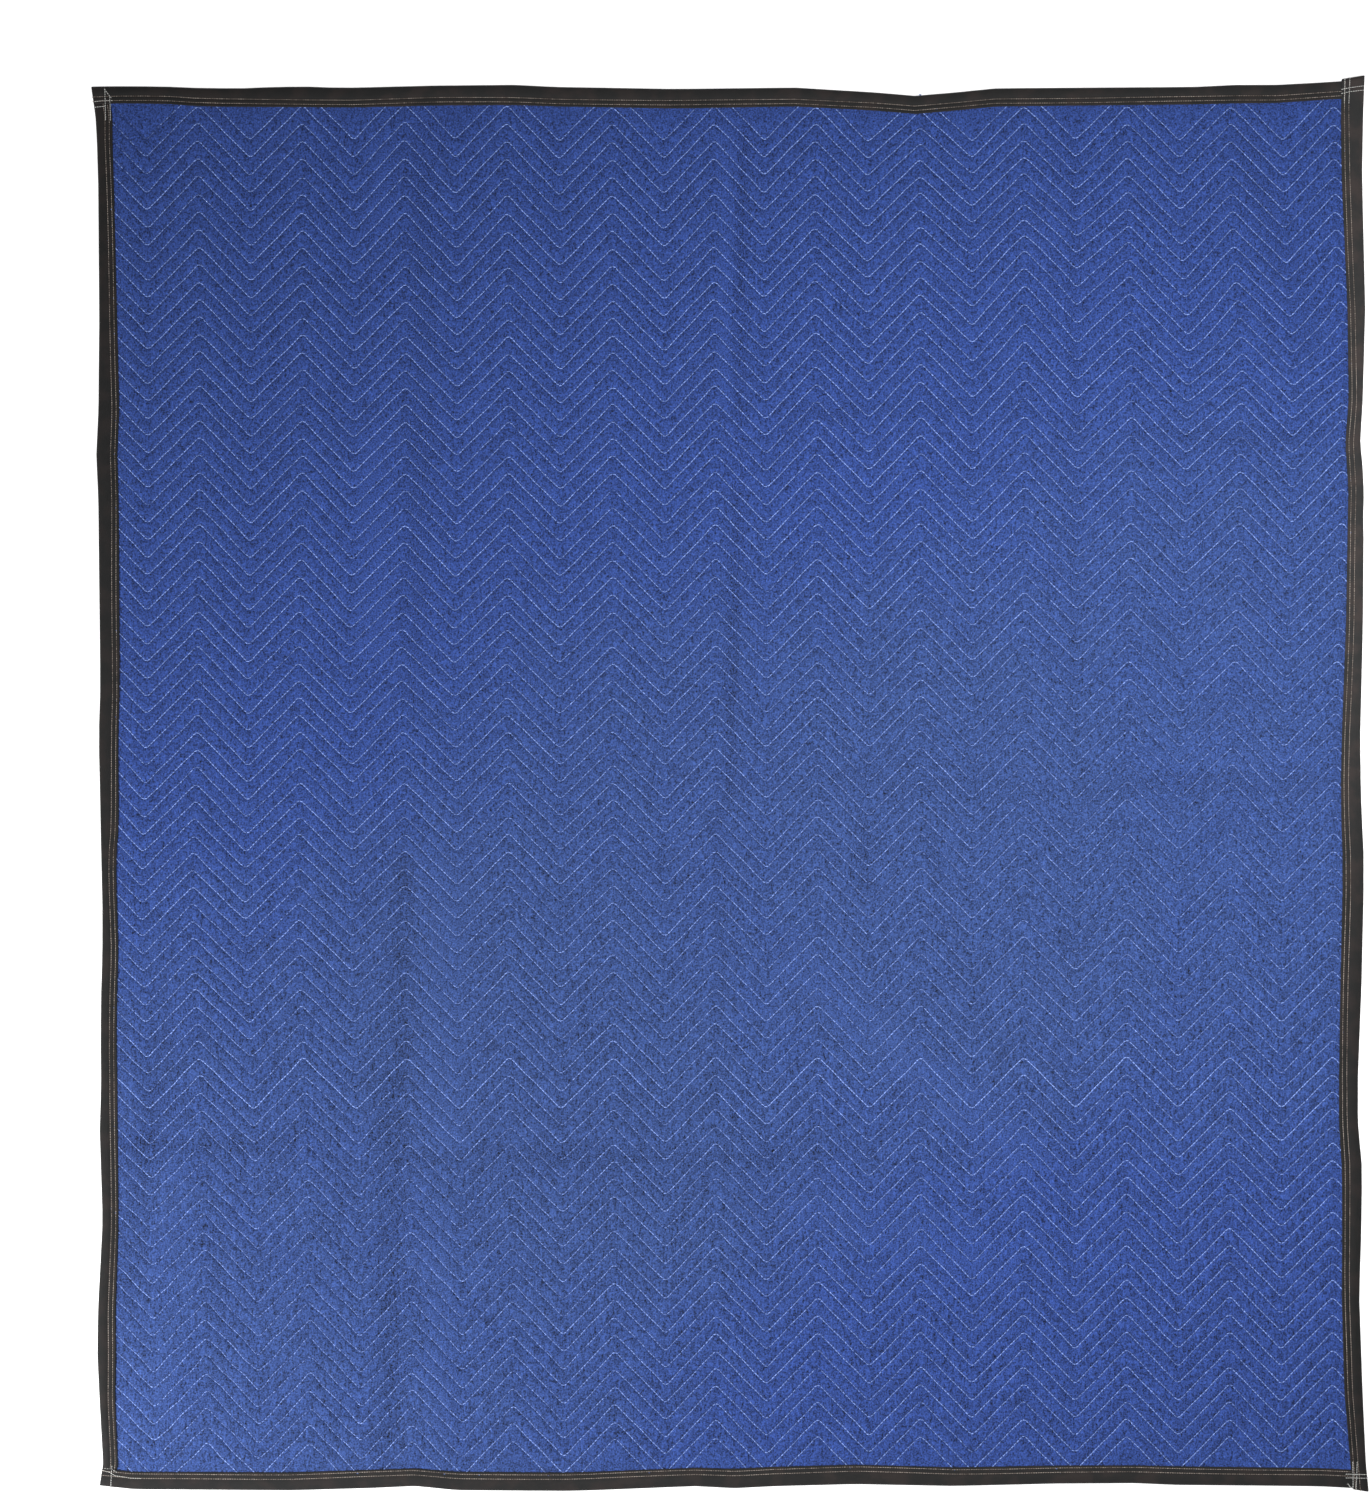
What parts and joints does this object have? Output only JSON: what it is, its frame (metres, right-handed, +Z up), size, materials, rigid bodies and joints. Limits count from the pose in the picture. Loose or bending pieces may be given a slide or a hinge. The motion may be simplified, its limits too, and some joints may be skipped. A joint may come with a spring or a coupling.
{
  "type": "moving blanket",
  "caption": "Flat quilted moving blanket with zigzag quilting and a tape folded over each edge, for wrapping and padding furniture while it is moved.",
  "frame": {"origin": "on the surface it lies on, under the middle of the blanket", "axes": "+Z up out of the quilted face, +Y along the longer sides towards the top edge, +X to the right"},
  "size_m": [1.87, 2.0731, 0.0079],
  "materials": {
    "quilted_cloth": "matt blue woven cloth, quilted with pale thread",
    "binding_tape": "matt black woven tape, sewn with two rows of tan thread"
  },
  "bodies": {
    "root": {"quilted_panel": "quilted_cloth", "binding_top": "binding_tape", "binding_bottom": "binding_tape", "binding_left": "binding_tape", "binding_right": "binding_tape"}
  },
  "joints": []
}
